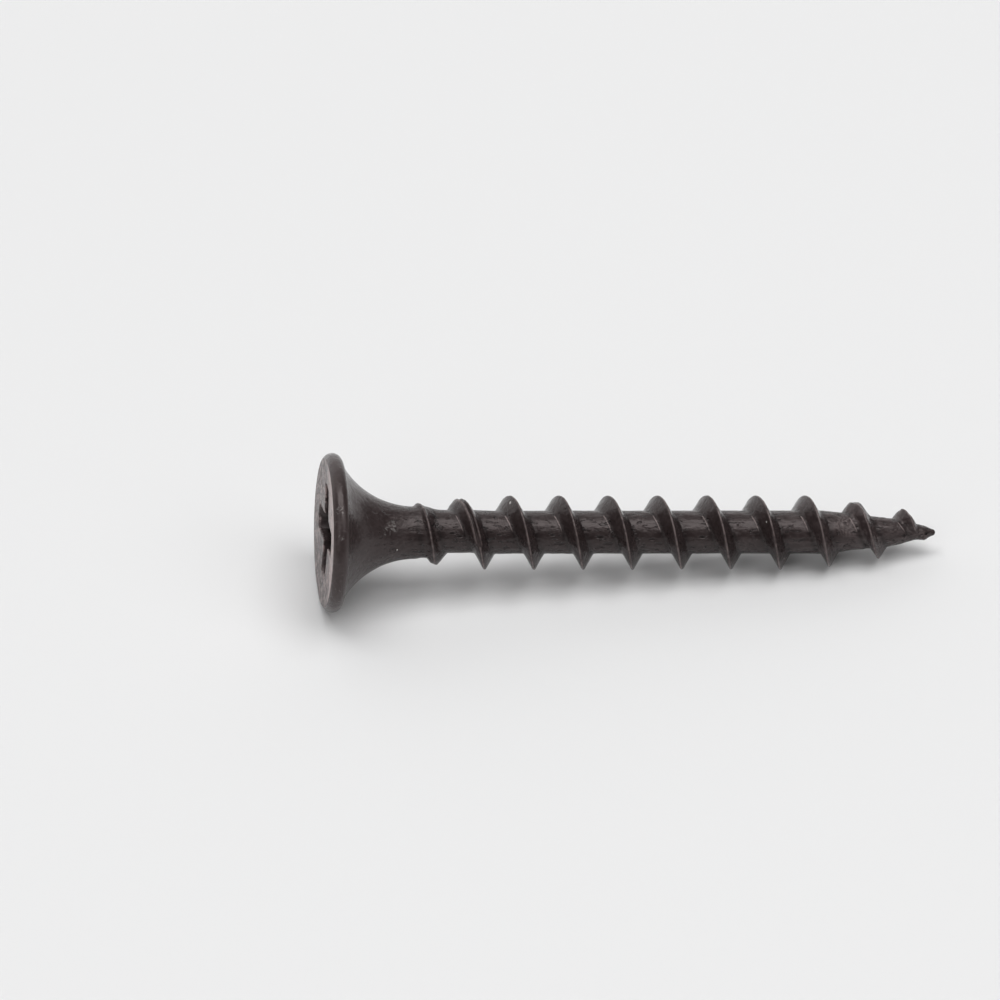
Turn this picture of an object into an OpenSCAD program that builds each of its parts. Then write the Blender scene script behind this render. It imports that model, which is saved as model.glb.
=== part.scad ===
// Coarse-thread drywall screw: a bugle head with a cross recess, a plain neck, and one
// right-hand thread that runs out on a long tapered point. It is made of one piece of wire.
// The screw is drawn upright, with its face at z = 0 and its point up the z axis, and is then
// laid down on z = 0, where it rests on the rim of its head and on one turn of its thread.
// Sizes are in millimetres and angles in degrees.

/* [Overall] */
// Length from the face of the head to the tip of the point
length = 31.8; // [24:0.1:60]
// Diameter across the rim of the head
head_d = 8.2; // [7.4:0.05:9]
// Diameter of the plain neck under the head
neck_d = 2.7; // [2.4:0.01:3]
// Diameter of the core between the turns of the thread
core_d = 2.17; // [1.8:0.01:2.5]
// Diameter over the crests of the thread
thread_d = 3.84; // [3.2:0.01:4.4]

/* [Head] */
// Radius of the round rim of the head
rim_r = 0.43; // [0.25:0.01:0.44]
// Distance from the face to the edge where the underside of the rim meets the bugle curve
bugle_z = 0.9; // [0.88:0.01:1.3]
// Diameter of that edge
bugle_d = 7.06; // [6:0.01:7.3]
// Distance from the face to the place where the bugle curve runs into the neck
neck_z = 4.74; // [4.2:0.01:6]

/* [Cross recess] */
// Size across two opposite wings at the face
wing_span = 4.7; // [4:0.05:5]
// Width of a wing at its outer end
wing_w = 1.06; // [0.8:0.01:1.2]
// Deepest point of the recess, under the face
recess_depth = 2.5; // [1.8:0.05:2.7]
// Lean of the outer ends of the wings towards the axis
wing_lean = 13.25; // [8:0.25:18]
// Rise of the floor of the wings from the middle outwards
floor_rise = 28; // [20:1:34]
// Gap at the face between opposite noses, which are the rounded corners between the wings
nose_gap = 2.45; // [2.2:0.01:2.7]
// Radius of a nose at the face
nose_r = 0.75; // [0.6:0.01:0.85]
// Lean of the noses towards the axis as they go down
nose_lean = 5; // [2:0.5:8]
// Turn of the recess about the axis, with 0 for a wing that points straight down at rest
recess_turn = 68; // [0:1:90]

/* [Thread] */
// Advance of the thread in one turn
pitch = 2.563; // [2:0.001:3.2]
// Width of the flat on the crest
crest_w = 0.1; // [0.06:0.01:0.2]
// Angle between each flank and a plane across the axis
flank_angle = 28; // [24:1:32]
// Distance from the face to the place where the thread leaves the neck
thread_z = 4.82; // [4.7:0.01:8]
// Turn of that place about the axis, with 0 pointing straight down at rest
thread_turn = 135; // [0:9:351]
// How much the first half turn falls short of an even advance
late_start = 0.36; // [0:0.01:0.6]
// Share of its full height with which the thread starts
start_share = 0.25; // [0:0.01:0.4]
// Turns over which the thread grows to its full height
grow_turns = 1.9; // [1:0.1:3]
// Distance from the place where the crests start to taper to the tip of the point
crest_taper = 6.5; // [5:0.1:9]
// Half angle of the taper of the crests
crest_taper_angle = 9; // [7:0.5:12]
// Distance over which the thread runs out just short of the tip
run_out = 0.45; // [0.3:0.05:0.8]
// Distance from the end of the thread to the tip of the point
thread_end = 0.95; // [0.8:0.05:1.5]

/* [Neck and point] */
// Distance from the start of the thread to the step from the neck down to the core
step_gap = 0.82; // [0.6:0.01:1.5]
// Length of that step
step_l = 0.8; // [0.4:0.05:1.5]
// Length of the tapered point
point_l = 5.9; // [5:0.1:8]
// Half angle of the slender first part of the point
slender_angle = 6.3; // [5:0.1:7]
// Length of the sharp last part of the point
sharp_l = 2.3; // [1.8:0.1:3]
// Radius of the blunt tip
tip_r = 0.17; // [0.1:0.01:0.25]

/* [Hidden] */

finish = [0.20, 0.18, 0.17];
arc_fn = 96;
// Straight pieces in one turn of the thread, a multiple of four so that one corner points down
turn_steps = 40;
// How far the roots of the thread are sunk into the core
root_sink = 0.12;
// How far a cutter stands out past the face that it cuts
past = 0.5;

head_r = head_d / 2;
neck_r = neck_d / 2;
core_r = core_d / 2;
thread_r = thread_d / 2;

// The bugle curve is an arc that leaves the neck without a kink and ends at the edge of the rim
bugle_run = neck_z - bugle_z;
bugle_rise = bugle_d / 2 - neck_r;
bugle_arc_r = (bugle_run * bugle_run + bugle_rise * bugle_rise) / (2 * bugle_rise);

// The underside of the rim is the line from the edge of the bugle curve that touches the round rim
rim_c = [head_r - rim_r, rim_r];
edge = [bugle_d / 2, bugle_z];
to_rim = rim_c - edge;
under_angle = atan2(to_rim[1], to_rim[0]) + asin(rim_r / norm(to_rim));
rim_touch = rim_c + rim_r * [cos(under_angle + 90), sin(under_angle + 90)];

// Places along the axis
step_z = thread_z + step_gap;
step_end_z = step_z + step_l;
point_z = length - point_l;
sharp_z = length - sharp_l;
taper_z = length - crest_taper;
end_z = length - thread_end;

// Radius at the start of the sharp part, and the cone from there that touches the round tip
sharp_r = core_r - (sharp_z - point_z) * tan(slender_angle);
tip_c = [0, length - tip_r];
tip_reach = sqrt(pow(sharp_r, 2) + pow(tip_c[1] - sharp_z, 2));
sharp_angle = atan2(sharp_r, tip_c[1] - sharp_z) - asin(tip_r / tip_reach);
tip_touch = tip_c + tip_r * [cos(sharp_angle), sin(sharp_angle)];

// Cross recess: the cone through the outer ends of the wings meets the cone of their floor
floor_r = (wing_span / 2 - recess_depth * tan(wing_lean)) / (1 - tan(floor_rise) * tan(wing_lean));
floor_z = recess_depth - floor_r * tan(floor_rise);
nose_c = (nose_gap / 2 + nose_r) / sqrt(2);

// Radius of the core at a distance z from the face
function core_at(z) =
    z < step_z ? neck_r
    : z < step_end_z ? neck_r + (core_r - neck_r) * (z - step_z) / step_l
    : z < point_z ? core_r
    : z < sharp_z ? core_r - (z - point_z) * tan(slender_angle)
    : sharp_r - (z - sharp_z) * tan(sharp_angle);

// Share of the full height that the thread has reached a number of turns after its start
function grown(turns) = 1 - (1 - start_share) * pow(1 - min(1, turns / grow_turns), 3);

// Radius of the crest at a distance z from the face
function crest_at(z) =
    let (rise = neck_r + (thread_r - neck_r) * grown((z - thread_z) / pitch))
    let (fall = thread_r - max(0, z - taper_z) * tan(crest_taper_angle))
    let (end = max(0, z - end_z + run_out) / run_out)
    let (full = min(rise, fall))
    full - (full - core_at(z) + root_sink) * end;

// The thread starts and ends on a whole step, and its first corner is sunk into the neck
thread_steps = floor((end_z - thread_z + late_start) / pitch * turn_steps);

function step_angle(i) = thread_turn + i * 360 / turn_steps;
function step_at(i) =
    let (turns = i / turn_steps)
    thread_z + pitch * turns - late_start * min(1, 2 * turns);

// The four corners of the thread's section at step i: root, crest, crest and root
function section(i) =
    let (z = step_at(i))
    let (a = step_angle(i))
    let (root = max(0.03, core_at(z) - root_sink))
    let (crest = i == 0 ? core_at(z) - root_sink / 2 : max(crest_at(z), root + 0.01))
    let (half_root = crest_w / 2 + (crest - root) * tan(flank_angle))
    [
        for (corner = [[root, -half_root], [crest, -crest_w / 2], [crest, crest_w / 2], [root, half_root]])
            [corner[0] * cos(a), corner[0] * sin(a), z + corner[1]]
    ];

// Lean of the axis at rest, when a crest that points straight down and the round rim both touch
// the ground. As the screw tips forward, the crest that needs the least lean touches first.
function lean_at(i) =
    let (ahead = step_at(i) + crest_w / 2 - rim_r)
    let (above = head_r - rim_r - crest_at(step_at(i)))
    atan2(above, ahead) + asin(rim_r / norm([ahead, above]));
rest_lean = min([for (i = [turn_steps:thread_steps]) if (step_angle(i) % 360 == 0) lean_at(i)]);

// Height of the middle of the face over the ground, and the middle of the screw's length
face_h = rim_r * sin(rest_lean) + (head_r - rim_r) * cos(rest_lean) + rim_r;
back_x = -(head_r - rim_r) * sin(rest_lean) - rim_r * (1 - cos(rest_lean));
front_x = (length - tip_r) * cos(rest_lean) + tip_r;

// Outline of the head and neck to one side of the axis, with the bugle curve cut from it
module head_outline() {
    translate(rim_c)
        circle(r = rim_r, $fn = arc_fn);
    polygon([[0, 0], [rim_c[0], 0], rim_c, rim_touch, edge, [0, bugle_z]]);
    difference() {
        polygon([[0, bugle_z], edge, [neck_r, neck_z], [0, neck_z]]);
        translate([neck_r + bugle_arc_r, neck_z])
            circle(r = bugle_arc_r, $fn = 4 * arc_fn);
    }
}

// Outline of the neck, the core and the point, up to where the round tip takes over
module shank_outline() {
    polygon([
        [0, neck_z], [neck_r, neck_z], [neck_r, step_z], [core_r, step_end_z],
        [core_r, point_z], [sharp_r, sharp_z], tip_touch, [0, tip_touch[1]]
    ]);
    difference() {
        translate(tip_c)
            circle(r = tip_r, $fn = arc_fn);
        translate([-2 * tip_r, tip_c[1] - 2 * tip_r])
            square([2 * tip_r, 4 * tip_r]);
    }
}

// The turned body: head, neck, core and point
module blank() {
    rotate_extrude($fn = arc_fn) {
        head_outline();
        shank_outline();
    }
}

// One wing of the recess in plan: straight between the noses, then a little narrower outwards
module wing() {
    inner = nose_c - nose_r;
    outer = wing_w / 2 - past * (inner - wing_w / 2) / (wing_span / 2 - nose_c);
    polygon([
        [0, -inner], [nose_c, -inner], [wing_span / 2 + past, -outer],
        [wing_span / 2 + past, outer], [nose_c, inner], [0, inner]
    ]);
}

// Room for the cross-point driver: four wings between four leaning noses
module recess() {
    difference() {
        intersection() {
            translate([0, 0, -past])
                linear_extrude(height = recess_depth + 2 * past) {
                    square(2 * nose_c, center = true);
                    for (quarter = [0:3])
                        rotate(90 * quarter)
                            wing();
                }
            rotate_extrude($fn = arc_fn)
                polygon([
                    [0, -past], [wing_span / 2 + past * tan(wing_lean), -past],
                    [floor_r, floor_z], [0, recess_depth]
                ]);
        }
        for (quarter = [0:3])
            rotate(90 * quarter + 45)
                translate([nose_c * sqrt(2), 0, -2 * past])
                    cylinder(
                        r1 = nose_r - 2 * past * tan(nose_lean),
                        r2 = nose_r + (recess_depth + past) * tan(nose_lean),
                        h = recess_depth + 3 * past, $fn = arc_fn
                    );
    }
}

// The thread: one ribbon of trapezoid sections swept round the core
module thread() {
    sections = [for (i = [0:thread_steps]) section(i)];
    count = len(sections);
    points = [for (s = sections) for (p = s) p];
    last = 4 * (count - 1);
    caps = [[0, 2, 1], [0, 3, 2], [last, last + 1, last + 2], [last, last + 2, last + 3]];
    sides = [
        for (i = [0:count - 2])
            for (k = [0:3])
                let (a = 4 * i + k)
                let (b = 4 * i + (k + 1) % 4)
                each [[a, b + 4, a + 4], [a, b, b + 4]]
    ];
    polyhedron(points = points, faces = concat(caps, sides), convexity = 20);
}

// Lays the upright screw down on its rim and thread, point to +x, over the middle of its length
module at_rest() {
    translate([-(back_x + front_x) / 2, 0, face_h])
        rotate([0, 90 + rest_lean, 0])
            children();
}

module screw() {
    color(finish)
        at_rest()
            difference() {
                union() {
                    blank();
                    thread();
                }
                rotate(recess_turn)
                    recess();
            }
}

screw();
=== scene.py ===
"""Black coarse-thread drywall screw, lying on its side on a plain pale floor.

The screw is one mesh that stands for the CAD node "screw". Its threaded shank is made by
Geometry Nodes, its bugle head, cross recess and point by rings of points, and small rolling
faults are then pressed into the metal. Sizes are in metres, in the frame of the CAD model.
"""

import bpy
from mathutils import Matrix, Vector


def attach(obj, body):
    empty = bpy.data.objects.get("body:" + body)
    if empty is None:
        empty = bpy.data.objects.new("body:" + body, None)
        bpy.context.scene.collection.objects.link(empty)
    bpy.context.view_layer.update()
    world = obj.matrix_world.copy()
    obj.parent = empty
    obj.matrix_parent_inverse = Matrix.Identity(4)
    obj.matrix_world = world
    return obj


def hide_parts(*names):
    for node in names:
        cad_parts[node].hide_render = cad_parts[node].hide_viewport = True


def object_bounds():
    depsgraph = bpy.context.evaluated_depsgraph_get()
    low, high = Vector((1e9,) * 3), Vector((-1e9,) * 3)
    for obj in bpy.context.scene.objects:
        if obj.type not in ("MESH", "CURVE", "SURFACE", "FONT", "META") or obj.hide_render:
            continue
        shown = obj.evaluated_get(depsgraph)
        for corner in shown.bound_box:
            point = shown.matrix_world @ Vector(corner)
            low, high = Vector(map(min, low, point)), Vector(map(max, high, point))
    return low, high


bl_info = {
    "name": "Drywall Screw",
    "version": (1, 0, 0),
    "blender": (4, 5, 0),
    "location": "View3D > Sidebar > Drywall Screw",
    "description": "Builds a black drywall screw with its finish, a floor, lamps and a camera",
    "category": "Add Mesh",
}

import math

import bmesh
import bpy
import numpy as np
from bpy.props import FloatProperty, FloatVectorProperty, IntProperty, PointerProperty
from mathutils import Matrix, Vector, noise

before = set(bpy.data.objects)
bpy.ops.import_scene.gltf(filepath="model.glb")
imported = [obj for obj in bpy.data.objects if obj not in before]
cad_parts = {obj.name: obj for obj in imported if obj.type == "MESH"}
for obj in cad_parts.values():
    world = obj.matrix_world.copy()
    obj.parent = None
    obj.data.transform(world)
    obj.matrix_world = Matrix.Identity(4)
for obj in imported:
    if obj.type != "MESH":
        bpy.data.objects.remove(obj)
CAD_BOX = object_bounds()

MM = 0.001
PICTURE_SIDE = 1000
SENSOR_WIDTH = 36.0
CAMERA_RANGE = (0.01, 100.0)
LAMP_DISTANCE = 2.0
FLOOR_HALF = 3.0
# Points of the mesh that are nearer than this are one point
MERGE_DISTANCE = 0.0012 * MM
# The turn from the start of the thread to the side that faces the camera, in degrees
TO_FRONT = 95
# Where the shank starts and ends, in millimetres from the face, both with soft edges
SHANK_START = (4.4, 4.9)
SHANK_END = (31.3, 31.6)
# The direction of the bright wall, and that of the near side of the upright screw's face, which
# is painted lighter as wear and as a highlight
WALL_TOWARDS = (-0.34, 0.94, 0.0)
WORN_AND_HIGHLIT_TOWARDS = (-0.643, -0.766)
# The factor by which the dents are drawn out along the screw
DENT_SQUEEZE = 0.4

# Marks of the finish, each as x, y, z and radius in millimetres on the upright screw
DENTS = (
    (-0.67, -0.85, 6.52, 0.09),
    (-0.54, -0.94, 6.89, 0.10),
    (-0.89, -0.65, 6.68, 0.06),
    (-0.30, -1.04, 9.50, 0.11),
    (-0.62, -0.90, 8.95, 0.07),
    (-0.17, -1.07, 12.06, 0.13),
    (-0.59, -0.91, 11.71, 0.08),
    (-0.17, -1.07, 14.62, 0.12),
    (-0.50, -0.96, 14.21, 0.12),
    (-0.17, -1.07, 17.25, 0.10),
    (-0.40, -1.01, 16.90, 0.09),
    (-0.50, -0.96, 19.50, 0.10),
)
SCUFFS = (
    (-1.24, -0.97, 3.35, 0.42),
    (-1.12, -1.24, 3.08, 0.30),
    (-3.39, -2.28, 0.34, 0.30),
    (-2.43, -3.29, 0.37, 0.20),
)
CHATTER = (
    (-0.19, -1.12, 16.03, 0.55),
    (-0.08, -1.08, 21.77, 0.55),
    (-0.87, -0.41, 26.98, 0.75),
)
DUST = (
    (-1.57, 0.53, 9.58, 0.085),
    (-1.43, -0.86, 22.76, 0.05),
    (0.67, -1.30, 23.85, 0.05),
    (-0.09, -1.49, 3.64, 0.05),
)
# Fine arcs round one middle, the spot of the core that shows them, and how close the waves of
# the arcs and of the chatter stand, in radians for a millimetre
RINGS_MIDDLE = (-1.05, -0.35, 9.75)
RINGS = ((-1.02, -0.55, 9.15, 0.62),)
RING_WAVES = 55.0
CHATTER_WAVES = 26.0
# Where the painted highlights of the folds lie across the pitch, and about the axis on the upper
# side, in radians
FOLD_HIGHLIGHT_PHASE = -1.5
FOLD_HIGHLIGHT_TURN = -2.85

# How Blender shows a length
LENGTH = {"precision": 5, "subtype": "DISTANCE", "unit": "LENGTH"}


def number(name, description, default, **kind):
    """A number for the sidebar."""
    return FloatProperty(name=name, description=description, default=default, **kind)


def length(name, description, default):
    """A length in metres."""
    return number(name, description, default, min=0.0, soft_max=1.0, **LENGTH)


def coordinate(name, description, default):
    """A place along an axis in metres, which may be below nought."""
    return number(name, description, default, **LENGTH)


def angle(name, description, degrees):
    """An angle, kept in radians and shown in degrees."""
    return number(name, description, math.radians(degrees), subtype="ANGLE", unit="ROTATION")


def share(name, description, default, high=1.0):
    """A plain number from nought upwards."""
    return number(name, description, default, min=0.0, soft_max=high)


def count(name, description, default, low, high):
    """A whole number."""
    return IntProperty(name=name, description=description, default=default, min=low, max=high)


def colour(name, description, default):
    """A scene-linear colour."""
    return FloatVectorProperty(
        name=name,
        description=description,
        default=default,
        size=3,
        min=0.0,
        max=1.0,
        subtype="COLOR",
    )


class ScrewSizes(bpy.types.PropertyGroup):
    """Sizes of the CAD part, with the wear, dish, shift and roundings that only scene.py has."""

    screw_length: length("Length", "From the face of the head to the tip", 31.8 * MM)
    head_d: length("Head", "Diameter across the rim of the head", 8.2 * MM)
    neck_d: length("Neck", "Diameter of the plain neck", 2.7 * MM)
    core_d: length("Core", "Diameter between the turns of the thread", 2.17 * MM)
    thread_d: length("Thread", "Diameter over the crests", 3.84 * MM)
    rim_r: length("Rim rounding", "Radius of the round rim", 0.43 * MM)
    bugle_z: length("Rim depth", "From the face to the edge of the bugle curve", 0.9 * MM)
    bugle_d: length("Bugle edge", "Diameter of that edge", 7.06 * MM)
    neck_z: length("Bugle end", "From the face to the end of the bugle curve", 4.74 * MM)

    wing_span: length("Wing span", "Size of the recess over two wings", 4.7 * MM)
    wing_w: length("Wing width", "Width of a wing at its outer end", 1.06 * MM)
    recess_depth: length("Recess depth", "Deepest point of the recess", 2.5 * MM)
    wing_lean: angle("Wing lean", "Lean of the outer ends of the wings", 13.25)
    floor_rise: angle("Floor rise", "Rise of the recess floor outwards", 28)
    nose_gap: length("Nose gap", "Gap between opposite noses", 2.45 * MM)
    nose_r: length("Nose radius", "Radius of a nose at the face", 0.75 * MM)
    nose_lean: angle("Nose lean", "Lean of the noses on their way down", 5)
    mouth_wear: length("Mouth wear", "How far the ends of the wings are worn open", 0.13 * MM)
    side_wear: angle("Side wear", "How far one side of each wing is worn open by drivers", 6)
    face_dish: length("Face dish", "Depth of the shallow dish of the face", 0.15 * MM)
    recess_turn: angle("Recess turn", "Turn of the recess about the axis", 68)
    recess_shift: length("Recess shift", "How far the recess is off the axis", 0.1 * MM)

    pitch: length("Pitch", "Advance of the thread in one turn", 2.563 * MM)
    crest_w: length("Crest width", "Width of the flat on the crest", 0.1 * MM)
    flank_angle: angle("Flank angle", "Between a flank and a plane across the axis", 28)
    thread_z: length("Thread start", "From the face to the start of the thread", 4.82 * MM)
    thread_turn: angle("Start turn", "Turn of the start about the axis", 135)
    late_start: length("Late start", "How late the first half turn is", 0.36 * MM)
    start_share: share("Start share", "Share of its height with which the thread starts", 0.25)
    grow_turns: share("Growing turns", "Turns until the thread is full", 1.9, 4.0)
    crest_taper: length("Crest taper", "From where the crests taper to the tip", 6.5 * MM)
    taper_angle: angle("Taper angle", "Half angle of the taper of the crests", 9)
    run_out: length("Run-out", "Length over which the thread ends", 0.45 * MM)
    thread_end: length("Thread end", "From the end of the thread to the tip", 0.95 * MM)
    root_sink: length("Root sink", "Depth of the end of the thread in the core", 0.12 * MM)
    root_fillet: length("Root fillet", "Reach of the rounding at the roots", 0.16 * MM)
    crest_round: length("Crest rounding", "Reach of the rounding of the crest", 0.05 * MM)

    step_gap: length("Step gap", "From the start of the thread to the step", 0.82 * MM)
    step_l: length("Step", "Length of the step from neck to core", 0.8 * MM)
    point_l: length("Point", "Length of the tapered point", 5.9 * MM)
    slender_angle: angle("Slender angle", "Half angle of the slender part", 6.3)
    sharp_l: length("Sharp part", "Length of the sharp last part", 2.3 * MM)
    tip_r: length("Tip radius", "Radius of the blunt tip", 0.17 * MM)

    columns: count("Columns", "Columns of the mesh in one turn, a multiple of 8", 144, 40, 400)
    rows: count("Rows", "Rows of the mesh across one pitch", 34, 8, 80)
    seed: count("Seed", "Changes the small rolling faults", 4, 0, 1000)


class FinishLook(bpy.types.PropertyGroup):
    """Colours of the coating, of its worn places, of painted highlights and painted shade, and of
    the dust, and how rough it is.
    """

    coat: colour("Coating", "Dark phosphate coating", (0.0245, 0.0172, 0.0169))
    # Thin coating, and also the colour of lighter streaks that are a painted highlight near the
    # point
    thin: colour("Thin coating", "Where the coating is thin", (0.070, 0.054, 0.054))
    # Painted shade for the roots and the recess, and also the dark of the pits
    deep_shade: colour("Deep places", "Roots, pits and the recess", (0.010, 0.0075, 0.0075))
    # Bare metal of rubbed crests and edges, and the colour of the painted highlights on the
    # crests, the rim crease and the folds
    bare_and_highlit: colour("Bare edge", "Rubbed crests and edges", (0.23, 0.185, 0.18))
    # Also paints the lighter near side of the face, which is wear and a painted highlight
    scraped: colour("Scraped face", "Where tools scraped the face", (0.44, 0.345, 0.335))
    dust: colour("Dust", "Specks of dust", (0.62, 0.60, 0.58))
    tint: colour("Tint", "Tint of the reflections", (1.0, 0.90, 0.89))
    roughness: share("Roughness", "Roughness of the coating", 0.21)


class StageLook(bpy.types.PropertyGroup):
    """The floor, the lamps and the camera."""

    floor: colour("Floor", "Colour of the floor", (0.834, 0.834, 0.836))
    fill: share("Fill", "Brightness of the even light from all round", 0.08)
    back_light: share("Back wall", "Brightness of the bright wall behind", 0.98)
    left_light: share("Left softbox", "Brightness", 0.9, 5.0)
    right_light: share("Right softbox", "Brightness", 1.2, 5.0)
    top_light: share("Top softbox", "Brightness", 3.32, 5.0)
    front_light: share("Front softbox", "Brightness", 2.2, 5.0)
    azimuth: angle("Azimuth", "Turn of the camera about the screw", 6.24)
    elevation: angle("Elevation", "Height of the camera over the floor", 40.088)
    distance: length("Distance", "From the camera to the point it aims at", 1.16)
    pixels: share("Scale", "Picture pixels for one millimetre", 19.331, 60.0)
    aim_x: coordinate("Aim X", "Where the camera aims on the floor, along X", -5.855 * MM)
    aim_y: coordinate("Aim Y", "Where the camera aims on the floor, along Y", 6.483 * MM)


class Outline:
    """Lengths and radii of the turned body that follow from the sizes."""

    def __init__(self, sizes):
        self.sizes = sizes
        self.head_r = sizes.head_d / 2
        self.neck_r = sizes.neck_d / 2
        self.core_r = sizes.core_d / 2
        self.thread_r = sizes.thread_d / 2
        run = sizes.neck_z - sizes.bugle_z
        rise = sizes.bugle_d / 2 - self.neck_r
        self.arc_r = (run * run + rise * rise) / (2 * rise)
        self.rim_c = np.array([self.head_r - sizes.rim_r, sizes.rim_r])
        self.edge = np.array([sizes.bugle_d / 2, sizes.bugle_z])
        to_rim = self.rim_c - self.edge
        self.under_angle = math.atan2(to_rim[1], to_rim[0]) + math.asin(
            sizes.rim_r / np.hypot(*to_rim)
        )
        self.step_z = sizes.thread_z + sizes.step_gap
        self.step_end_z = self.step_z + sizes.step_l
        self.point_z = sizes.screw_length - sizes.point_l
        self.sharp_z = sizes.screw_length - sizes.sharp_l
        self.taper_z = sizes.screw_length - sizes.crest_taper
        self.end_z = sizes.screw_length - sizes.thread_end
        self.sharp_r = self.core_r - (self.sharp_z - self.point_z) * math.tan(
            sizes.slender_angle
        )
        self.tip_z = sizes.screw_length - sizes.tip_r
        reach = math.hypot(self.sharp_r, self.tip_z - self.sharp_z)
        self.sharp_angle = math.atan2(self.sharp_r, self.tip_z - self.sharp_z) - math.asin(
            sizes.tip_r / reach
        )
        self.touch_z = self.tip_z + sizes.tip_r * math.sin(self.sharp_angle)
        self.touch_r = sizes.tip_r * math.cos(self.sharp_angle)
        # The ribbon of the shank goes from half a pitch before the thread to near the round tip
        self.line_z = sizes.thread_z - sizes.late_start
        self.first_z = self.line_z - sizes.pitch / 2
        self.last_z = self.tip_z - 0.3 * MM
        self.turns = (self.last_z - self.first_z) / sizes.pitch

    def core_at(self, z):
        """Radius of the neck, core and point at the distances z from the face."""
        knots = [self.step_z, self.step_end_z, self.point_z, self.sharp_z, self.touch_z]
        radii = [self.neck_r, self.core_r, self.core_r, self.sharp_r, self.touch_r]
        return np.interp(z, knots, radii)

    def bugle_at(self, z):
        """How far the bugle curve stands out past the neck at the distances z."""
        below = np.maximum(self.sizes.neck_z - z, 0)
        return self.arc_r - np.sqrt(np.maximum(self.arc_r**2 - below**2, 0))

    def crest_at(self, z):
        """Radius of the crest where its line has reached the distances z from the face."""
        sizes = self.sizes
        grown = (z - sizes.thread_z) / sizes.pitch / sizes.grow_turns
        growth = (self.thread_r - self.neck_r) * (1 - sizes.start_share)
        rise = self.thread_r - growth * (1 - np.minimum(1, grown)) ** 3
        drop = np.maximum(0, z - self.taper_z) * math.tan(sizes.taper_angle)
        return np.minimum(rise, self.thread_r - drop)


class Wire:
    """An output of a node. Arithmetic on it adds the nodes that work the result out."""

    def __init__(self, wiring, socket):
        self.wiring = wiring
        self.socket = socket

    def __add__(self, other):
        return self.wiring.calc("ADD", self, other)

    def __radd__(self, other):
        return self.wiring.calc("ADD", other, self)

    def __sub__(self, other):
        return self.wiring.calc("SUBTRACT", self, other)

    def __rsub__(self, other):
        return self.wiring.calc("SUBTRACT", other, self)

    def __mul__(self, other):
        return self.wiring.calc("MULTIPLY", self, other)

    def __truediv__(self, other):
        return self.wiring.calc("DIVIDE", self, other)

    def __abs__(self):
        return self.wiring.calc("ABSOLUTE", self)


class Wiring:
    """Adds nodes to a tree and joins them, so that a formula reads from top to bottom."""

    def __init__(self, tree):
        self.tree = tree
        self.count = 0

    def node(self, kind, inputs=None, **settings):
        """A new node, with its settings and then its inputs filled in."""
        made = self.tree.nodes.new(kind)
        made.location = (200 * (self.count // 7), -220 * (self.count % 7))
        self.count += 1
        for name, value in settings.items():
            setattr(made, name, value)
        for name, value in (inputs or {}).items():
            if isinstance(value, Wire):
                self.tree.links.new(value.socket, made.inputs[name])
            else:
                made.inputs[name].default_value = value
        return made

    def wire(self, kind, inputs=None, output=0, **settings):
        """One output of a new node."""
        return Wire(self, self.node(kind, inputs, **settings).outputs[output])

    def wires(self, kind, inputs=None):
        """All outputs of a new node, by name."""
        made = self.node(kind, inputs)
        return {socket.name: Wire(self, socket) for socket in made.outputs}

    def calc(self, operation, *values, clamp=False):
        """One step of arithmetic."""
        numbered = dict(enumerate(values))
        return self.wire("ShaderNodeMath", numbered, operation=operation, use_clamp=clamp)

    def ramp(self, value, low, high, start=0.0, end=1.0, kind="LINEAR"):
        """A value that goes from start to end while the first goes from low to high."""
        inputs = {0: value, 1: low, 2: high, 3: start, 4: end}
        return self.wire("ShaderNodeMapRange", inputs, interpolation_type=kind)

    def parts(self, vector):
        """The X, Y and Z of a vector."""
        return self.wires("ShaderNodeSeparateXYZ", {0: vector})

    def point(self, x, y, z):
        """A vector put together from its parts."""
        return self.wire("ShaderNodeCombineXYZ", {"X": x, "Y": y, "Z": z})


def core_nodes(w, sizes, z):
    """Radius of the unthreaded body at the distance z from the face."""
    arc = sizes["Bugle Radius"]
    below = w.calc("MAXIMUM", sizes["Bugle End"] - z, 0.0)
    radius = sizes["Neck Radius"] + (arc - w.calc("SQRT", arc * arc - below * below))
    for start, end, before, after in (
        ("Step Start", "Step End", "Neck Radius", "Core Radius"),
        ("Point Start", "Sharp Start", "Core Radius", "Sharp Radius"),
        ("Sharp Start", "Tip Start", "Sharp Radius", "Tip Radius"),
    ):
        change = sizes[after] - sizes[before]
        radius = radius + w.ramp(z, sizes[start], sizes[end], 0.0, change)
    return radius


def crest_nodes(w, sizes, crest_z):
    """Radius of the crest where its line has reached the distance crest_z from the face."""
    top = sizes["Thread Radius"]
    grown = (crest_z - sizes["Thread Start"]) / sizes["Pitch"]
    short = w.calc("MAXIMUM", 1.0 - grown / sizes["Grow Turns"], 0.0)
    full = (top - sizes["Neck Radius"]) * (1.0 - sizes["Start Share"])
    rise = top - full * (short * short * short)
    past = w.calc("MAXIMUM", crest_z - sizes["Taper Start"], 0.0)
    crest = w.calc("MINIMUM", rise, top - past * w.calc("TANGENT", sizes["Taper Angle"]))
    end = w.ramp(crest_z, sizes["Run-out Start"], sizes["Thread End"])
    floor = core_nodes(w, sizes, crest_z) - sizes["Root Sink"]
    return crest - (crest - floor) * end


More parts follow.
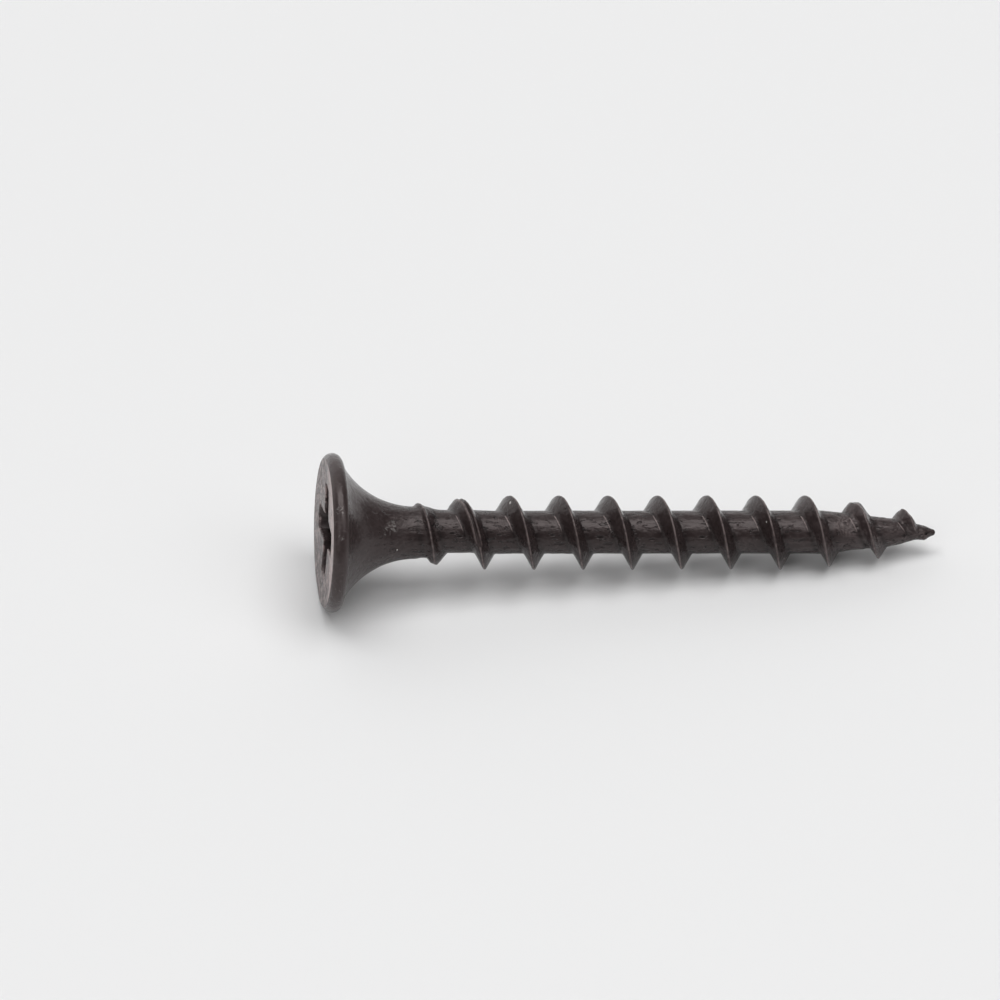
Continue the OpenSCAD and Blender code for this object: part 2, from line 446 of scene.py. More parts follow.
def shank_tree(lengths, counts):
    """Geometry Nodes that wrap a flat grid round the shank as one ribbon, a pitch wide.

    Each column of the grid goes across one pitch, with the crest in its middle. Columns that
    are one turn apart meet edge to edge, and are merged there into a single skin.
    """
    tree = bpy.data.node_groups.new("Threaded Shank", "GeometryNodeTree")
    face = tree.interface
    for name in lengths:
        face.new_socket(name=name, in_out="INPUT", socket_type="NodeSocketFloat")
    for name in counts:
        face.new_socket(name=name, in_out="INPUT", socket_type="NodeSocketInt")
    face.new_socket(name="Finish", in_out="INPUT", socket_type="NodeSocketMaterial")
    face.new_socket(name="Mesh", in_out="OUTPUT", socket_type="NodeSocketGeometry")

    w = Wiring(tree)
    sizes = w.wires("NodeGroupInput")
    columns, rows = sizes["Columns"], sizes["Rows"]
    grid = w.wire(
        "GeometryNodeMeshGrid",
        {
            "Size X": columns,
            "Size Y": rows,
            "Vertices X": columns + 1.0,
            "Vertices Y": rows + 1.0,
        },
    )
    place = w.parts(w.wire("GeometryNodeInputPosition"))
    turns = (place["X"] + columns * 0.5) / sizes["Turn Columns"] - 1.0
    angle_here = turns * math.tau + sizes["Start Turn"]
    cosine, sine = w.calc("COSINE", angle_here), w.calc("SINE", angle_here)

    # Rows stand closer together near the crest than in the valley
    across = place["Y"] * 2.0 / rows
    reach = abs(across)
    spread = reach * 0.34 + w.calc("POWER", reach, 2.3) * 0.66
    aside = spread * (sizes["Pitch"] * 0.5)
    signed = aside * w.calc("SIGN", across)

    # The first half turn lags behind an even advance, and only the rows near the crest follow
    early = w.calc("MAXIMUM", 1.0 - abs(turns) * 2.0, 0.0)
    late = early * sizes["Late Start"]
    line_z = sizes["Line Start"] + turns * sizes["Pitch"]
    near = w.ramp(reach, 0.55, 1.0, 1.0, 0.0, "SMOOTHSTEP")
    z = w.calc("MAXIMUM", line_z + signed + late * near, sizes["First Ring"])
    z = w.calc("MINIMUM", z, sizes["Last Ring"])

    # The crest is a little ragged, and drops steeply just before the start of the thread
    crest_z = line_z + late
    drop = w.ramp(turns, -0.018, 0.0, 0.4 * MM, 0.0)
    on_crest = w.point(cosine * (2.0 * MM), sine * (2.0 * MM), crest_z)
    ragged = w.wire(
        "ShaderNodeTexNoise",
        {"Vector": on_crest, "W": sizes["Seed"], "Scale": 1800.0, "Detail": 3.0},
        noise_dimensions="4D",
    )
    crest = crest_nodes(w, sizes, crest_z) - drop - ragged * sizes["Unevenness"]

    # The thread's section: a narrow rounded flat, two straight flanks, and filleted roots
    past_flat = aside - sizes["Crest Width"] * 0.5
    down = w.calc("SMOOTH_MAX", past_flat, 0.0, sizes["Crest Rounding"])
    flank = crest - down / w.calc("TANGENT", sizes["Flank Angle"])
    radius = w.calc("SMOOTH_MAX", core_nodes(w, sizes, z), flank, sizes["Root Fillet"])
    wrapped = w.point(cosine * radius, sine * radius, z)

    skin = w.wire("GeometryNodeSetPosition", {"Geometry": grid, "Position": wrapped})
    skin = w.wire(
        "GeometryNodeMergeByDistance", {"Geometry": skin, "Distance": MERGE_DISTANCE}
    )
    skin = w.wire("GeometryNodeSetShadeSmooth", {"Geometry": skin})
    skin = w.wire("GeometryNodeRealizeInstances", {"Geometry": skin})
    skin = w.wire("GeometryNodeSetMaterial", {"Geometry": skin, "Material": sizes["Finish"]})
    w.node("NodeGroupOutput", {"Mesh": skin})
    return tree


def threaded_shank(sizes, outline, finish):
    """The skin of the thread, core and most of the point, open at both ends, as a plain mesh."""
    lengths = {
        "Pitch": sizes.pitch,
        "Neck Radius": outline.neck_r,
        "Core Radius": outline.core_r,
        "Thread Radius": outline.thread_r,
        "Crest Width": sizes.crest_w,
        "Crest Rounding": sizes.crest_round,
        "Flank Angle": sizes.flank_angle,
        "Root Fillet": sizes.root_fillet,
        "Root Sink": sizes.root_sink,
        "Line Start": outline.line_z,
        "Start Turn": sizes.thread_turn,
        "Late Start": sizes.late_start,
        "Thread Start": sizes.thread_z,
        "Grow Turns": sizes.grow_turns,
        "Start Share": sizes.start_share,
        "Taper Start": outline.taper_z,
        "Taper Angle": sizes.taper_angle,
        "Run-out Start": outline.end_z - sizes.run_out,
        "Thread End": outline.end_z,
        "Bugle End": sizes.neck_z,
        "Bugle Radius": outline.arc_r,
        "Step Start": outline.step_z,
        "Step End": outline.step_end_z,
        "Point Start": outline.point_z,
        "Sharp Start": outline.sharp_z,
        "Sharp Radius": outline.sharp_r,
        "Tip Start": outline.touch_z,
        "Tip Radius": outline.touch_r,
        "First Ring": outline.first_z,
        "Last Ring": outline.last_z,
        "Unevenness": 0.02 * MM,
    }
    counts = {
        "Columns": math.ceil((outline.turns + 1) * sizes.columns),
        "Rows": sizes.rows,
        "Turn Columns": sizes.columns,
        "Seed": sizes.seed,
    }
    values = {**lengths, **counts, "Finish": finish}
    tree = shank_tree(lengths, counts)
    blank = bpy.data.objects.new("shank_blank", bpy.data.meshes.new("shank_blank"))
    bpy.context.scene.collection.objects.link(blank)
    made = blank.modifiers.new("Threaded Shank", "NODES")
    made.node_group = tree
    for item in tree.interface.items_tree:
        if item.in_out == "INPUT":
            made[item.identifier] = values[item.name]
    blank.update_tag()
    depsgraph = bpy.context.evaluated_depsgraph_get()
    shank = bpy.data.meshes.new_from_object(blank.evaluated_get(depsgraph))
    blank.modifiers.remove(made)
    bpy.data.objects.remove(blank)
    return shank


def smaller(a, b, reach):
    """The lesser of two lengths, with the corner between them rounded."""
    overlap = np.maximum(reach - np.abs(a - b), 0) / reach
    return np.minimum(a, b) - overlap**3 * reach / 6


class Recess:
    """The cross recess, as a radius for each direction and depth."""

    # How deep the wear of the mouth and of the sides goes, and how far a corner is rounded
    MOUTH_WEAR_DEPTH = 0.4 * MM
    SIDE_WEAR_DEPTH = 0.6 * MM
    CORNER_ROUND = 0.08 * MM
    # Limits in degrees of the corner and of the start of the nose, with the least gap between
    # them, and the shares of the columns that lie before each
    CORNER_LIMIT, CORNER_GAP, NOSE_LIMIT = 30, 5, 40
    CORNER_SHARE, NOSE_SHARE = 0.34, 0.62

    def __init__(self, sizes):
        self.sizes = sizes
        self.depth = sizes.recess_depth
        self.lean = math.tan(sizes.wing_lean)
        self.rise = math.tan(sizes.floor_rise)
        half = sizes.wing_span / 2
        self.floor_r = (half - self.depth * self.lean) / (1 - self.rise * self.lean)
        self.floor_z = self.depth - self.floor_r * self.rise
        self.nose_c = (sizes.nose_gap / 2 + sizes.nose_r) / math.sqrt(2)
        self.inner = self.nose_c - sizes.nose_r
        self.slope = (sizes.wing_w / 2 - self.inner) / (half - self.nose_c)

    def reach(self, depth):
        """Reach of the outer ends of the wings at one depth, worn open near the face."""
        worn = self.sizes.mouth_wear * max(0.0, 1 - depth / self.MOUTH_WEAR_DEPTH)
        return self.sizes.wing_span / 2 - depth * self.lean + worn

    def sides(self, turn, depth):
        """Reach of a wing's side and of the nose in the directions turn off the wing."""
        cosine, sine = np.cos(turn), np.sin(turn)
        gap = sine - self.slope * cosine
        side = (self.inner - self.slope * self.nose_c) / np.maximum(gap, 1e-6)
        radius = self.sizes.nose_r + depth * math.tan(self.sizes.nose_lean)
        along = self.nose_c * (cosine + sine)
        inside = radius**2 - 2 * self.nose_c**2 + along**2
        nose = np.where(inside > 0, along - np.sqrt(np.maximum(inside, 0)), np.inf)
        return side, nose

    def ring(self, count, outer, depth):
        """Points round the recess where its outer ends reach outer, at one depth."""
        turn = np.linspace(0.0, math.pi / 4, 400)
        side, nose = self.sides(turn, depth)
        wall = np.minimum(side, nose)
        corner = min(np.interp(-outer, -wall, turn), math.radians(self.CORNER_LIMIT))
        junction = max(turn[np.argmax(nose <= side)], corner + math.radians(self.CORNER_GAP))
        junction = min(junction, math.radians(self.NOSE_LIMIT))
        knots = [0, corner, junction, math.pi / 4]
        eighth = count // 8
        first, second = round(eighth * self.CORNER_SHARE), round(eighth * self.NOSE_SHARE)
        steps = np.interp(np.arange(eighth + 1), [0, first, second, eighth], knots)
        side, nose = self.sides(steps, depth)
        nose = np.minimum(nose, 10 * outer)
        reach = smaller(smaller(side, nose, self.CORNER_ROUND), outer, self.CORNER_ROUND)
        quarter_turn = np.concatenate([steps, math.pi / 2 - steps[-2:0:-1]])
        worn = self.sizes.side_wear * max(0.0, 1 - depth / self.SIDE_WEAR_DEPTH)
        quarter_turn = quarter_turn + worn * np.interp(quarter_turn, knots, [0, 1, 0.5, 0])
        quarter_reach = np.concatenate([reach, reach[-2:0:-1]])
        turns = np.concatenate([quarter_turn + k * math.pi / 2 for k in range(4)])
        reaches = np.tile(quarter_reach, 4)
        return turns, reaches


def recess_middle(sizes):
    """The middle of the recess, which lies a little to the upper side of the axis."""
    towards = math.radians(160)
    return sizes.recess_shift * np.array([math.cos(towards), math.sin(towards)])


def unit_circle(sizes):
    """Directions round the axis, one for each column of the mesh."""
    angles = sizes.thread_turn + np.arange(sizes.columns) * math.tau / sizes.columns
    return np.stack([np.cos(angles), np.sin(angles)], 1)


def ring_at(flat, z):
    """A ring of points at the distance z from the face."""
    return np.column_stack([flat, np.full(len(flat), z)])


def recess_rings(sizes):
    """Rings of points from the floor of the recess, up its walls and over its rounded mouth."""
    recess = Recess(sizes)
    levels = []
    bottom_round = 0.12 * MM
    for outer in np.linspace(0.06, 1.0, 16) ** 1.1 * recess.floor_r:
        rise = math.hypot(outer * recess.rise, bottom_round) - bottom_round
        levels.append((outer, recess.depth - rise, 0.0))
    mouth_round = 0.06 * MM
    for depth in np.linspace(recess.floor_z - 0.02 * MM, mouth_round, 11):
        levels.append((recess.reach(depth), depth, 0.0))
    for lift in np.radians([60, 40, 20, 0]):
        depth = mouth_round * (1 - math.cos(lift))
        levels.append((recess.reach(depth), depth, mouth_round * (1 - math.sin(lift))))

    # Each ring is turned with the recess, and starts at the column where the thread starts
    turn = sizes.recess_turn
    turned = np.array([[math.cos(turn), math.sin(turn)], [-math.sin(turn), math.cos(turn)]])
    shift = round((turn - sizes.thread_turn) / math.tau * sizes.columns)
    rings = []
    for outer, depth, out in levels:
        turns, reaches = recess.ring(sizes.columns, outer, depth)
        flat = np.stack([reaches * np.cos(turns), reaches * np.sin(turns)], 1)
        if out:
            along = np.roll(flat, -1, 0) - np.roll(flat, 1, 0)
            normal = np.stack([along[:, 1], -along[:, 0]], 1)
            flat = flat + out * normal / np.linalg.norm(normal, axis=1)[:, None]
        flat = np.roll(flat @ turned + recess_middle(sizes), shift, 0)
        rings.append(ring_at(flat, depth))
    return rings


def head_rings(sizes, outline):
    """Rings of points from the floor of the recess over the face and rim to the neck."""
    rings = recess_rings(sizes)
    circle = unit_circle(sizes)

    # The face blends from the outline of the recess to the round rim, and is a little hollow
    corner_r, corner_turn = 0.08 * MM, math.radians(30)
    corner_z = corner_r * (1 - math.cos(corner_turn))
    side_r = (sizes.rim_r - corner_z) / math.cos(corner_turn)
    corner_at = outline.head_r - side_r * (1 - math.sin(corner_turn))
    flat_r = corner_at - corner_r * math.sin(corner_turn)
    mouth_ring = rings[-1][:, :2]
    for part in np.linspace(0, 1, 17)[1:]:
        rings.append(ring_at(mouth_ring * (1 - part) + circle * flat_r * part, 0.0))
    dish_reach = 0.5 * MM
    for ring in rings:
        middle = np.maximum(0, 1 - np.hypot(ring[:, 0], ring[:, 1]) / flat_r)
        near_face = np.maximum(0, 1 - ring[:, 2] / dish_reach)
        ring[:, 2] += sizes.face_dish * middle * near_face

    # A crisp corner, the side of the rim, its round underside, and the bugle curve
    profile = []
    for lift in np.linspace(0, corner_turn, 5)[1:]:
        profile.append((flat_r + corner_r * math.sin(lift), corner_r * (1 - math.cos(lift))))
    for lift in np.linspace(corner_turn, math.pi / 2, 10)[1:]:
        out = side_r * (math.sin(lift) - math.sin(corner_turn))
        down = side_r * (math.cos(corner_turn) - math.cos(lift))
        profile.append((corner_at + out, corner_z + down))
    for lift in np.linspace(0, outline.under_angle + math.pi / 2, 10)[1:]:
        profile.append(outline.rim_c + sizes.rim_r * np.array([math.cos(lift), math.sin(lift)]))
    touch = profile[-1]
    for part in (0.3, 0.6, 0.85, 0.95):
        profile.append(touch + (outline.edge - touch) * part)
    for z in np.linspace(sizes.bugle_z, outline.first_z, 34):
        profile.append((outline.neck_r + float(outline.bugle_at(z)), z))
    return rings + [ring_at(circle * radius, z) for radius, z in profile]


def tip_rings(sizes, outline):
    """Rings of points from the end of the ribbon to the blunt tip."""
    profile = []
    for z in np.linspace(outline.last_z, outline.touch_z, 7):
        profile.append((float(outline.core_at(z)), z))
    for lift in np.linspace(outline.sharp_angle, math.pi / 2, 9)[1:-1]:
        z = outline.tip_z + sizes.tip_r * math.sin(lift)
        profile.append((sizes.tip_r * math.cos(lift), z))
    circle = unit_circle(sizes)
    return [ring_at(circle * radius, z) for radius, z in profile]


def skin(bm, rings, pole, pole_first):
    """Faces between rings of points, closed with a fan round one pole."""
    rows = [[bm.verts.new(point) for point in ring] for ring in rings]
    count = len(rows[0])
    for low, high in zip(rows, rows[1:]):
        for k in range(count):
            nxt = (k + 1) % count
            bm.faces.new((low[k], low[nxt], high[nxt], high[k]))
    tip = bm.verts.new(pole)
    ends = rows[0] if pole_first else rows[-1]
    for k in range(count):
        bm.faces.new((ends[k], ends[(k + 1) % count], tip))


def lay_down(sizes, outline):
    """The matrix that lays the upright screw on its rim and thread, as the CAD part does."""
    steps = 40  # of the CAD part's thread in one turn
    lean = math.pi
    above_rim = outline.head_r - sizes.rim_r
    last = int((outline.end_z - sizes.thread_z + sizes.late_start) / sizes.pitch * steps)
    for step in range(steps, last + 1):
        turn = math.degrees(sizes.thread_turn) + step * 360 / steps
        if abs(turn % 360) > 0.01 and abs(turn % 360 - 360) > 0.01:
            continue
        z = outline.line_z + sizes.pitch * step / steps
        ahead = z + sizes.crest_w / 2 - sizes.rim_r
        above = above_rim - float(outline.crest_at(z))
        to_rim = math.asin(sizes.rim_r / math.hypot(ahead, above))
        lean = min(lean, math.atan2(above, ahead) + to_rim)
    height = sizes.rim_r * math.sin(lean) + above_rim * math.cos(lean) + sizes.rim_r
    back = -above_rim * math.sin(lean) - sizes.rim_r * (1 - math.cos(lean))
    front = (sizes.screw_length - sizes.tip_r) * math.cos(lean) + sizes.tip_r
    move = Matrix.Translation((-(back + front) / 2, 0, height))
    return move @ Matrix.Rotation(math.pi / 2 + lean, 4, "Y")


def smooth_step(low, high, value):
    """Goes smoothly from nought at low to one at high."""
    part = np.clip((value - low) / (high - low), 0, 1)
    return part * part * (3 - 2 * part)


def hump(middle, width, value):
    """A soft hump, one at its middle."""
    return np.exp(-(((value - middle) / width) ** 2))


def lumps(points, per_mm, octaves, seed):
    """Seeded fractal noise of about -1 to 1 at points in millimetres."""
    shift = Vector((17.3 * seed, -9.1 * seed, 5.7 * seed))
    return np.array(
        [
            noise.fractal(Vector(point) * per_mm + shift, 0.9, 2.1, octaves)
            for point in points.tolist()
        ]
    )


class ThreadPlace:
    """Where points of the upright screw lie along and beside the crest of the thread.

    Turns are counted from the start of the thread, and lengths are in millimetres. The phase
    goes from minus to plus half a circle across one pitch.
    """

    def __init__(self, sizes, outline, points):
        turn = np.arctan2(points[:, 1], points[:, 0]) - sizes.thread_turn
        self.round = turn
        turn = turn / math.tau
        exact = (points[:, 2] - outline.line_z) / sizes.pitch - turn
        whole = np.round(exact)
        self.turns = turn + whole
        self.phase = (exact - whole) * math.tau
        self.late = sizes.late_start * np.maximum(0, 1 - 2 * np.abs(self.turns))
        self.aside = ((exact - whole) * sizes.pitch - self.late) / MM
        self.radius = np.hypot(points[:, 0], points[:, 1]) / MM
        self.z = points[:, 2] / MM


def spot(at, degrees, z, wide, long):
    """A soft round patch of the surface, at a turn about the axis and a distance z."""
    round_off = (np.degrees(at.round) - degrees + 180) % 360 - 180
    across = np.radians(round_off) * np.maximum(at.radius, 0.3)
    return np.exp(-((across / wide) ** 2) - ((at.z - z) / long) ** 2)


def neck_faults(at, r, sizes, outline):
    """Ends the neck at the first turn of the thread, whose lip stands up sharply."""
    # The neck steps down to the core along that turn, all round, and not at one height
    z = at.z * MM
    body = (outline.core_at(z) + outline.bugle_at(z)) / MM
    ahead = (at.round / math.tau) % 1.0
    turned_back = 0.55  # the part of the turn after which that edge goes back to its start
    late = sizes.late_start * np.maximum(0, 1 - 2 * ahead)
    back = smooth_step(turned_back, 1.0, ahead)
    first = (outline.line_z + sizes.pitch * np.minimum(ahead, turned_back) + late) / MM
    first = first * (1 - back) + sizes.thread_z / MM * back
    fall = 0.35 + 0.9 * np.maximum(hump(0.0, 0.12, ahead), hump(1.0, 0.12, ahead))
    drop = smooth_step(0.0, 1.0, (at.z - first - 0.02) / fall)
    stepped = outline.neck_r + (outline.core_r - outline.neck_r) * drop
    stepped = (stepped + outline.bugle_at(z)) / MM
    on_body = (1 - smooth_step(0.0, 0.25, r - body)) * (at.z > 4.3) * (at.z < 6.6)
    r = r + (stepped - body) * on_body

    # The lip is steep towards the head and slopes towards the point
    lip = smooth_step(-0.012, 0.0, at.turns) * (1 - smooth_step(0.06, 0.2, at.turns))
    slope = np.where(at.aside > 0, 0.62, 6.0)
    lip_height = 0.15
    top = outline.neck_r / MM + lip_height - np.abs(at.aside) * slope
    r = np.where(np.abs(at.aside) < 0.6, np.maximum(r, r + lip * (top - r)), r)

    # Half a turn on, the crest is broad and uneven, and the neck before it is a little hollow
    broad = hump(0.51, 0.13, at.turns)
    crest = outline.crest_at(outline.line_z + at.turns * sizes.pitch + at.late) / MM
    beside = (-0.8, -0.39, -0.24, 0.0, 0.08, 0.235, 0.39, 0.8)
    lower = (1.2, 0.31, 0.10, 0.025, 0.0, 0.155, 0.36, 0.9)
    ridge = crest - np.interp(at.aside, beside, lower)
    r = r + broad * (np.maximum(ridge, r) - r)
    hollow_depth = 0.05
    return r - hollow_depth * spot(at, TO_FRONT + 90, 5.05, 0.7, 0.22)


def thread_faults(at, r, core, sizes):
    """Folds and flattens some of the crests."""
    steep = math.tan(sizes.flank_angle)
    # The first full crest is a fold with two lips and a groove between them
    lip_radius, lip_offset, groove_depth = 1.75, 0.13, 0.15
    fold = smooth_step(0.90, 0.99, at.turns) * (1 - smooth_step(1.24, 1.36, at.turns))
    fold *= np.abs(at.aside) < 0.9
    shoulder = np.maximum(np.abs(at.aside + 0.02) - lip_offset, 0) / steep
    folded = lip_radius - shoulder - groove_depth * hump(-0.03, 0.05, at.aside)
    r = r + fold * (np.maximum(folded, np.minimum(core, r)) - r)

    # A crest near the point is flattened, and the last one has a sharp far edge
    flat_radius, flat_half = 1.545, 0.22
    flat = hump(9.02, 0.09, at.turns) * (np.abs(at.aside) < 0.9)
    top = flat_radius - 0.05 * np.abs(at.aside)
    wide = top - np.maximum(np.abs(at.aside - 0.04) - flat_half, 0) / (steep * 1.15)
    r = r + flat * (np.minimum(np.maximum(wide, r), top) - r)
    peak = smooth_step(-0.22, -0.1, at.aside) * (1 - smooth_step(0.06, 0.12, at.aside))
    return r + 0.07 * hump(10.01, 0.04, at.turns) * peak


def press_in_faults(bm, sizes, outline):
    """Moves points in and out for the folds, nicks and lumps that rolling left in the metal."""
    points = np.array([v.co for v in bm.verts])
    mm = points / MM
    at = ThreadPlace(sizes, outline, points)
    core = outline.core_at(points[:, 2]) / MM
    on_shank = smooth_step(*SHANK_START, at.z) * (1 - smooth_step(*SHANK_END, at.z))
    r = neck_faults(at, at.radius.copy(), sizes, outline)
    r = thread_faults(at, r, core, sizes)

    # Ragged crests where the thread starts and where it runs out
    near_crest = hump(0.0, 0.2, at.aside) * smooth_step(0.08, 0.16, r - core)
    ragged = 0.008 + 0.030 * smooth_step(8.8, 9.6, at.turns)
    ragged += 0.035 * (1 - smooth_step(0.8, 1.5, at.turns))
    r -= near_crest * ragged * np.maximum(0, 0.3 + lumps(mm, 3.0, 3, sizes.seed)) * on_shank

    # Lumps on the core, larger near the point and on its underside
    near_point = smooth_step(24.5, 28.5, at.z)
    r += on_shank * (0.014 + 0.010 * near_point) * lumps(mm, 1.3, 2, sizes.seed + 1)
    r += on_shank * (0.007 + 0.016 * near_point) * lumps(mm, 4.2, 3, sizes.seed + 3)
    upwards = np.cos(at.round - math.radians(5))
    under = np.clip(-upwards, 0, 1) ** 2
    r += on_shank * under * (0.008 + 0.02 * near_point) * lumps(mm, 1.9, 3, sizes.seed + 5)

    # The core is a little thicker than its nominal size and off the axis, mostly at the neck,
    # and the tip has a burr on its underside
    off_axis = smooth_step(4.8, 5.6, at.z) * (1 - smooth_step(7.4, 8.6, at.z))
    in_valley = 1 - smooth_step(0.3, 0.6, r - core)
    r += on_shank * in_valley * (0.024 + 0.024 * upwards + 0.045 * off_axis * upwards)
    burr = hump(31.2, 0.2, at.z) * np.clip(np.cos(at.round - math.radians(175)), 0, 1) ** 2
    r += 0.09 * burr + 0.03 * hump(31.25, 0.3, at.z)

    # The head and neck are a little uneven, and the edge of the bugle curve is rounded
    head = (1 - smooth_step(*SHANK_START, at.z)) * smooth_step(0.5, 1.2, at.z)
    head = head * (at.radius > 1.3)
    r += head * 0.012 * lumps(mm, 0.7, 3, sizes.seed + 2)
    r += 0.03 * hump(sizes.bugle_z / MM, 0.1, at.z) * (at.radius > 3)
    r = np.minimum(r, np.maximum(at.radius, sizes.bugle_d / 2 / MM))
    scale = r / np.maximum(at.radius, 1e-9)
    for vert, k in zip(bm.verts, scale.tolist()):
        vert.co.x *= k
        vert.co.y *= k


def finish_values(bm, sizes, outline):
    """Values at the points for the finish: where a mark of the rollers comes back each turn,
    how near a rubbed edge or a painted highlight is, how much painted shade a root or the
    recess gets, and whether it is on the thread."""
    points = np.array([v.co for v in bm.verts])
    at = ThreadPlace(sizes, outline, points)
    core = outline.core_at(points[:, 2]) / MM
    reach = sizes.pitch / MM / math.tau
    place = np.stack([points[:, 0] / MM, points[:, 1] / MM, reach * np.cos(at.phase)], 1)
    phase = reach * np.sin(at.phase)

    high = smooth_step(0.08, 0.2, at.radius - core) * (at.z > 4.6)
    fold = (at.turns > 0.93) & (at.turns < 1.33)
    off_lips = np.abs(np.abs(at.aside + 0.02) - 0.14)
    off_line = np.where(fold, off_lips, np.abs(at.aside))
    # The light line on the crests is rubbed metal and also a painted highlight
    crest = high * (1 - smooth_step(0.015, 0.05, off_line))
    # A painted highlight on the crease at the edge of the bugle curve
    rim = hump(sizes.bugle_z / MM, 0.045, at.z) * (at.radius > 3) * 0.3
    edge_wear_and_highlight = np.clip(crest + rim, 0, 1)
    inside = (at.z < sizes.recess_depth / MM + 0.1) & (at.radius < 2.75 - 0.34 * at.z)
    # Painted shade in the roots of the thread, and deeper down in the recess
    root = (at.z > 4.6) * hump(0.55, 0.14, np.abs(at.aside)) * (1 - high)
    deep_shade = np.where(inside, 1.4 * smooth_step(0.15, 0.7, at.z), 0.0)
    return (
        ("roll_place", "FLOAT_VECTOR", "vector", place),
        ("roll_phase", "FLOAT", "value", phase),
        ("rubbed_and_highlit", "FLOAT", "value", edge_wear_and_highlight),
        ("sunk", "FLOAT", "value", root + deep_shade),
        ("thread_height", "FLOAT", "value", np.clip(high, 0, 1)),
    )


def screw_mesh(sizes, outline, finish, rest):
    """The whole screw as one closed mesh, laid down as it comes to rest."""
    bm = bmesh.new()
    bm.from_mesh(threaded_shank(sizes, outline, finish))
    pole = (*recess_middle(sizes), sizes.recess_depth)
    skin(bm, head_rings(sizes, outline), pole, True)
    skin(bm, tip_rings(sizes, outline), (0, 0, sizes.screw_length), False)
    bmesh.ops.remove_doubles(bm, verts=bm.verts, dist=MERGE_DISTANCE)
    bmesh.ops.recalc_face_normals(bm, faces=bm.faces)
    loose = [e for e in bm.edges if len(e.link_faces) != 2]
    if loose:
        raise RuntimeError(f"the skin of the screw has {len(loose)} open edges")
    press_in_faults(bm, sizes, outline)
    values_at_points = finish_values(bm, sizes, outline)
    bmesh.ops.transform(bm, matrix=rest, verts=bm.verts)
    # The corner of the face is crisper than the CAD part's, whose facets are flat too, so some
    # points would stand up to 13 microns outside its box
    low, high = CAD_BOX
    for vert in bm.verts:
        vert.co = [min(max(value, low[k]), high[k]) for k, value in enumerate(vert.co)]
    for face in bm.faces:
        face.smooth = True
    mesh = bpy.data.meshes.new("drywall_screw")
    bm.to_mesh(mesh)
    bm.free()
    for name, kind, field, values in values_at_points:
        layer = mesh.attributes.new(name, kind, "POINT")
        layer.data.foreach_set(field, values.astype(np.float32).ravel())
    mesh.materials.clear()
    mesh.materials.append(finish)
    return mesh


class SCREW_OT_screw(bpy.types.Operator):
    """Make the screw as one closed mesh in place of the CAD node"""

    bl_idname = "drywall_screw.screw"
    bl_label = "Make Screw"

    def execute(self, context):
        sizes = context.scene.screw_sizes
        outline = Outline(sizes)
        rest = lay_down(sizes, outline)
        finish = phosphate_material(context.scene.finish_look, rest)
        mesh = screw_mesh(sizes, outline, finish, rest)
        screw = bpy.data.objects.new("drywall_screw", mesh)
        context.scene.collection.objects.link(screw)
        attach(screw, "root")
        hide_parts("screw")
        return {"FINISHED"}


def attribute(w, name, output="Fac"):
    """A value stored at the points of the mesh."""
    return w.wire(
        "ShaderNodeAttribute", output=output, attribute_name=name, attribute_type="GEOMETRY"
    )


def blend(w, part, first, second):
    """A colour that goes from the first to the second."""
    inputs = {"Factor": part, 6: first, 7: second}
    return w.wire("ShaderNodeMix", inputs, output=2, data_type="RGBA")


def grain(w, place, scale, detail=3.0, rough=0.5, phase=None, distortion=0.0):
    """Noise between nought and one, at a scale for each millimetre."""
    inputs = {
        "Vector": place,
        "Scale": scale,
        "Detail": detail,
        "Roughness": rough,
        "Distortion": distortion,
    }
    if phase is None:
        return w.wire("ShaderNodeTexNoise", inputs, noise_dimensions="3D")
    inputs["W"] = phase
    return w.wire("ShaderNodeTexNoise", inputs, noise_dimensions="4D")


def distance(w, place, point):
    """How far a place is from a point, in millimetres."""
    return w.wire(
        "ShaderNodeVectorMath", {0: place, 1: point}, output="Value", operation="DISTANCE"
    )


def spots(w, place, marks):
    """One inside round spots, each given as x, y, z and radius in millimetres, nought outside."""
    inside = 0.0
    for x, y, z, radius in marks:
        away = distance(w, place, (x, y, z))
        mask = w.ramp(away, radius * 0.55, radius, 1.0, 0.0, "SMOOTHSTEP")
        inside = w.calc("MAXIMUM", inside, mask)
    return inside


def stretched(w, place, around, along):
    """Places scaled so that noise on them is drawn out along the axis of the screw."""
    inputs = {"Vector": place, "Scale": (around, around, along)}
    return w.wire("ShaderNodeMapping", inputs, vector_type="POINT")


